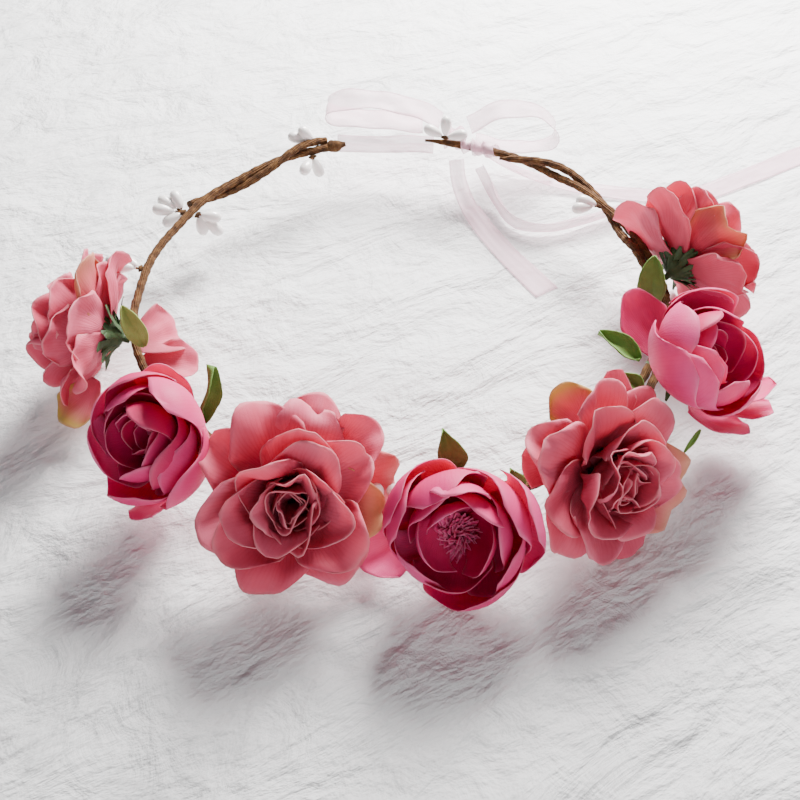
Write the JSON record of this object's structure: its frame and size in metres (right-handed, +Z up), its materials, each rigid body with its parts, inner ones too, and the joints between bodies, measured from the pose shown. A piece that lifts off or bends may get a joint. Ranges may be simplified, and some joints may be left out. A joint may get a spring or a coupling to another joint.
{
  "type": "flower crown",
  "caption": "Open wire-and-paper vine hoop for the head, with fabric roses and ranunculus on stems, cloth leaves, pearl pip sprigs and an organza bow that ties the back.",
  "frame": {"origin": "middle of the hoop, on the table plane that the crown lies on", "axes": "+Z up, -Y towards the flowered front, +X to the right seen from the front"},
  "size_m": [0.2874, 0.2285, 0.0525],
  "materials": {
    "rose_petal": "dusty salmon pink polyester petal cloth, deeper rose in the folds, olive tint at some rims",
    "ranunculus_petal": "hot pink polyester petal cloth, dark red inside",
    "calyx_green": "dark green moulded plastic",
    "leaf_green": "stiffened olive green cloth with a faint rib",
    "vine_paper": "brown crepe paper wound in a spiral, rough",
    "steel_wire": "soft florist's wire, hidden in the paper",
    "pearl_pip": "ivory lacquer over foam, slightly pearly",
    "organza": "sheer pale pink organza with a fine woven edge"
  },
  "bodies": {
    "band": {"bow_loop_left": "organza", "bow_loop_right": "organza", "front_side_strand": "vine_paper", "front_vine_wire": "steel_wire", "front_vine_wrap": "vine_paper", "leaf_far_left": "leaf_green", "leaf_far_right": "leaf_green", "leaf_front": "leaf_green", "leaf_front_small": "leaf_green", "leaf_left": "leaf_green", "leaf_right": "leaf_green", "leaf_right_small": "leaf_green", "leaf_right_tip": "leaf_green", "pips_front": "pearl_pip", "pips_knot_right": "pearl_pip", "pips_right_front": "pearl_pip", "ribbon_bridge": "organza", "ribbon_knot": "organza", "ribbon_tail_long": "organza", "ribbon_tail_middle": "organza", "ribbon_tail_short": "organza", "ribbon_wrap": "organza"},
    "left_arm": {"arm_end_tape": "vine_paper", "arm_side_strand": "vine_paper", "arm_vine_wire": "steel_wire", "arm_vine_wrap": "vine_paper", "pips_knot_left": "pearl_pip"},
    "rose_far_left": {"rose_far_left_calyx": "calyx_green", "rose_far_left_core": "rose_petal", "rose_far_left_inner_petals": "rose_petal", "rose_far_left_outer_petals": "rose_petal"},
    "ranunculus_left": {"ranunculus_left_calyx": "calyx_green", "ranunculus_left_core": "ranunculus_petal", "ranunculus_left_inner_petals": "ranunculus_petal", "ranunculus_left_outer_petals": "ranunculus_petal"},
    "rose_front_left": {"rose_front_left_calyx": "calyx_green", "rose_front_left_core": "rose_petal", "rose_front_left_inner_petals": "rose_petal", "rose_front_left_outer_petals": "rose_petal"},
    "ranunculus_front": {"ranunculus_front_calyx": "calyx_green", "ranunculus_front_core": "ranunculus_petal", "ranunculus_front_inner_petals": "ranunculus_petal", "ranunculus_front_outer_petals": "ranunculus_petal"},
    "rose_front_right": {"rose_front_right_calyx": "calyx_green", "rose_front_right_core": "rose_petal", "rose_front_right_inner_petals": "rose_petal", "rose_front_right_outer_petals": "rose_petal"},
    "ranunculus_right": {"ranunculus_right_calyx": "calyx_green", "ranunculus_right_core": "ranunculus_petal", "ranunculus_right_inner_petals": "ranunculus_petal", "ranunculus_right_outer_petals": "ranunculus_petal"},
    "rose_far_right": {"rose_far_right_calyx": "calyx_green", "rose_far_right_core": "rose_petal", "rose_far_right_inner_petals": "rose_petal", "rose_far_right_outer_petals": "rose_petal"},
    "pips_left": {"pips_left": "pearl_pip"},
    "pips_upper_left": {"pips_upper_left": "pearl_pip"},
    "pips_hanging": {"pips_hanging": "pearl_pip"},
    "pips_below_knot": {"pips_below_knot": "pearl_pip"},
    "pips_right": {"pips_right": "pearl_pip"}
  },
  "joints": [
    {"name": "left_arm_flex", "type": "hinge", "parent": "band", "child": "left_arm", "pos_m": [-0.08714, -0.01072, 0.02275], "axis": [0, 0, 1], "range_deg": [-6, 9], "deforming": ["ribbon_bridge"]},
    {"name": "rose_far_left_nod", "type": "hinge", "parent": "band", "child": "rose_far_left", "pos_m": [-0.08539, -0.01863, 0.02224], "axis": [-0.2732, 0.9588, 0.0783], "range_deg": [-8, 12]},
    {"name": "ranunculus_left_nod", "type": "hinge", "parent": "band", "child": "ranunculus_left", "pos_m": [-0.0654, -0.05152, 0.01718], "axis": [-0.7084, 0.6884, 0.1555], "range_deg": [-8, 12]},
    {"name": "rose_front_left_nod", "type": "hinge", "parent": "band", "child": "rose_front_left", "pos_m": [-0.03225, -0.07164, 0.01175], "axis": [-0.9405, 0.3242, 0.1018], "range_deg": [-8, 12]},
    {"name": "ranunculus_front_nod", "type": "hinge", "parent": "band", "child": "ranunculus_front", "pos_m": [0.01754, -0.07545, 0.01052], "axis": [-0.9829, -0.175, -0.0579], "range_deg": [-8, 12]},
    {"name": "rose_front_right_nod", "type": "hinge", "parent": "band", "child": "rose_front_right", "pos_m": [0.05047, -0.06307, 0.01428], "axis": [-0.8439, -0.5171, -0.143], "range_deg": [-8, 12]},
    {"name": "ranunculus_right_nod", "type": "hinge", "parent": "band", "child": "ranunculus_right", "pos_m": [0.08039, -0.03132, 0.02085], "axis": [-0.4501, -0.8847, -0.1215], "range_deg": [-8, 12]},
    {"name": "rose_far_right_nod", "type": "hinge", "parent": "band", "child": "rose_far_right", "pos_m": [0.08752, 0.00941, 0.023], "axis": [0.1022, -0.9948, 0], "range_deg": [-8, 12]},
    {"name": "pips_left_bend", "type": "hinge", "parent": "left_arm", "child": "pips_left", "pos_m": [-0.08962, 0.01614, 0.023], "axis": [0.1699, 0.9855, 0], "range_deg": [-20, 20]},
    {"name": "pips_upper_left_bend", "type": "hinge", "parent": "left_arm", "child": "pips_upper_left", "pos_m": [-0.07882, 0.04647, 0.023], "axis": [0.4916, 0.8708, 0], "range_deg": [-20, 20]},
    {"name": "pips_hanging_bend", "type": "hinge", "parent": "left_arm", "child": "pips_hanging", "pos_m": [-0.07282, 0.04659, 0.02088], "axis": [0.5214, 0.8533, 0], "range_deg": [-20, 20]},
    {"name": "pips_below_knot_bend", "type": "hinge", "parent": "left_arm", "child": "pips_below_knot", "pos_m": [-0.03336, 0.08049, 0.02146], "axis": [0.9173, 0.3982, 0], "range_deg": [-20, 20]},
    {"name": "pips_right_bend", "type": "hinge", "parent": "band", "child": "pips_right", "pos_m": [0.07056, 0.04875, 0.02386], "axis": [0.5506, -0.8348, 0], "range_deg": [-20, 20]}
  ]
}
